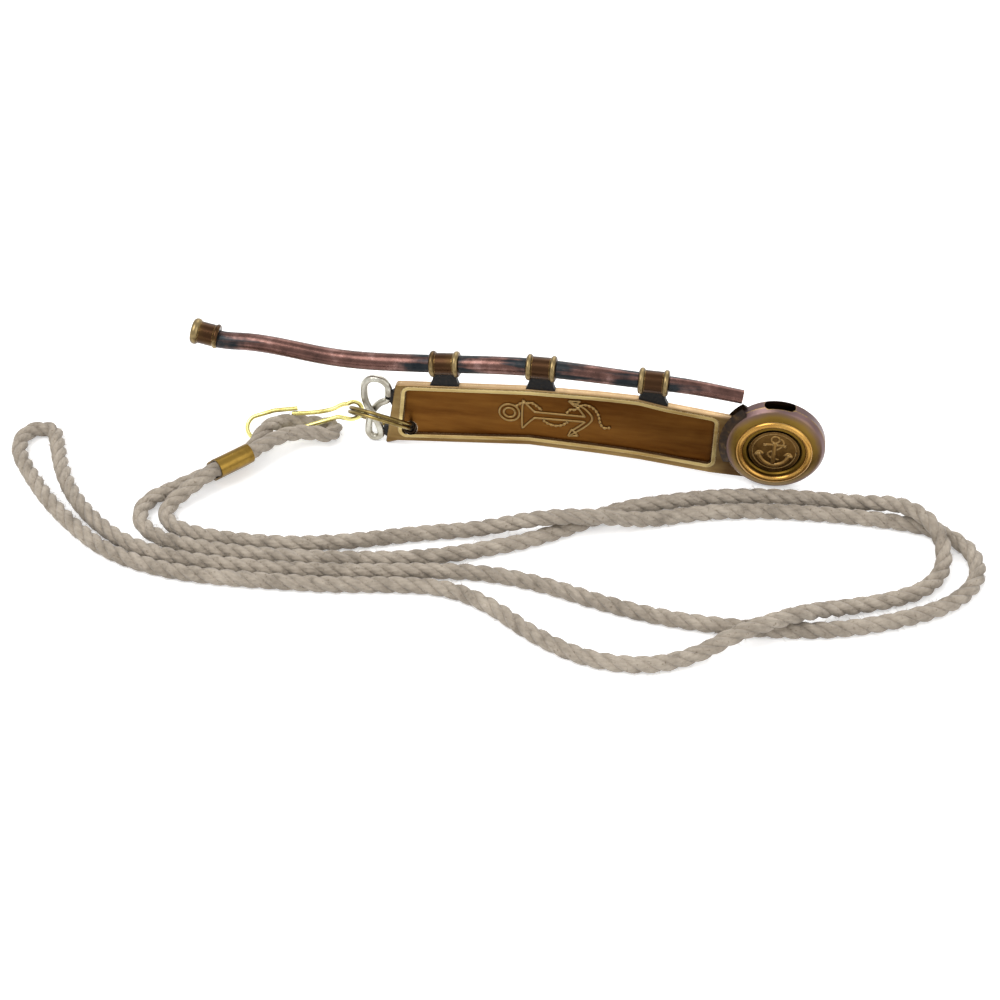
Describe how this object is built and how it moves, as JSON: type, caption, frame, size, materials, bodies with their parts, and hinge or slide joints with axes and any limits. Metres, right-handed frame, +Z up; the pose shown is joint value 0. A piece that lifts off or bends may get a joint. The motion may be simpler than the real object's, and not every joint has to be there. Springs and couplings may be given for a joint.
{
  "type": "boatswain call",
  "caption": "Boatswain call, a pipe with a bent copper gun over a pressed brass keel and a hollow buoy, with split ring, snap hook and cotton rope lanyard.",
  "frame": {"origin": "bottom centre of the call, on the surface it stands on, midway along its length", "axes": "+X along the call toward the buoy, -Y is the front face, +Z up"},
  "size_m": [0.1945, 0.0631, 0.0256],
  "materials": {
    "antique_brass": "antiqued, dark in the recesses",
    "aged_copper": "copper tube, oxidised brown to blue grey",
    "nickel_wire": "dull silver-coloured wire",
    "dark_solder": "dark fire-scaled solder",
    "polished_brass": "worn bright",
    "ring_wire": "dull brass wire",
    "bright_brass_wire": "bright, drawn",
    "bright_brass_sheet": "bright, lightly scratched",
    "cotton_rope": "three-strand twisted cotton, matt"
  },
  "bodies": {
    "call": {"gun_tube": "aged_copper", "mouth_ring": "antique_brass", "keel_front_plate": "antique_brass", "keel_back_plate": "antique_brass", "buoy_front_shell": "antique_brass", "buoy_back_shell": "antique_brass", "buoy_rim_band": "antique_brass", "buoy_front_ring": "polished_brass", "buoy_back_ring": "polished_brass", "front_medallion": "antique_brass", "back_medallion": "antique_brass", "buoy_solder_front": "dark_solder", "buoy_solder_back": "dark_solder", "keel_end_loop": "nickel_wire", "loop_solder_upper": "dark_solder", "loop_solder_lower": "dark_solder", "collar_1": "antique_brass", "collar_2": "antique_brass", "collar_3": "antique_brass", "solder_foot_1": "dark_solder", "solder_foot_2": "dark_solder", "solder_foot_3": "dark_solder"},
    "ring": {"split_ring": "ring_wire"},
    "hook": {"snap_hook": "bright_brass_wire"},
    "gate": {"snap_gate": "bright_brass_wire"},
    "lanyard": {"lanyard_ferrule": "bright_brass_sheet", "lanyard_rope": "cotton_rope", "lanyard_eye": "cotton_rope"}
  },
  "joints": [
    {"name": "ring_swing", "type": "hinge", "parent": "call", "child": "ring", "pos_m": [-0.0194, 0, 0.004], "axis": [0, 0, 1], "range_deg": [-12, 0]},
    {"name": "hook_swing", "type": "hinge", "parent": "ring", "child": "hook", "pos_m": [-0.03167, 0.00196, 0.00552], "axis": [0, 0, 1], "range_deg": [-20, 0]},
    {"name": "lanyard_swing", "type": "hinge", "parent": "hook", "child": "lanyard", "pos_m": [-0.04735, -0.00256, 0.00355], "axis": [0, 0, 1], "range_deg": [-4, 0]},
    {"name": "gate_flex", "type": "hinge", "parent": "hook", "child": "gate", "pos_m": [-0.03167, 0.00196, 0.00552], "axis": [-0.138, 0.7565, -0.6392], "range_deg": [-6, 0], "stiffness_Nm_per_rad": 0.02}
  ]
}
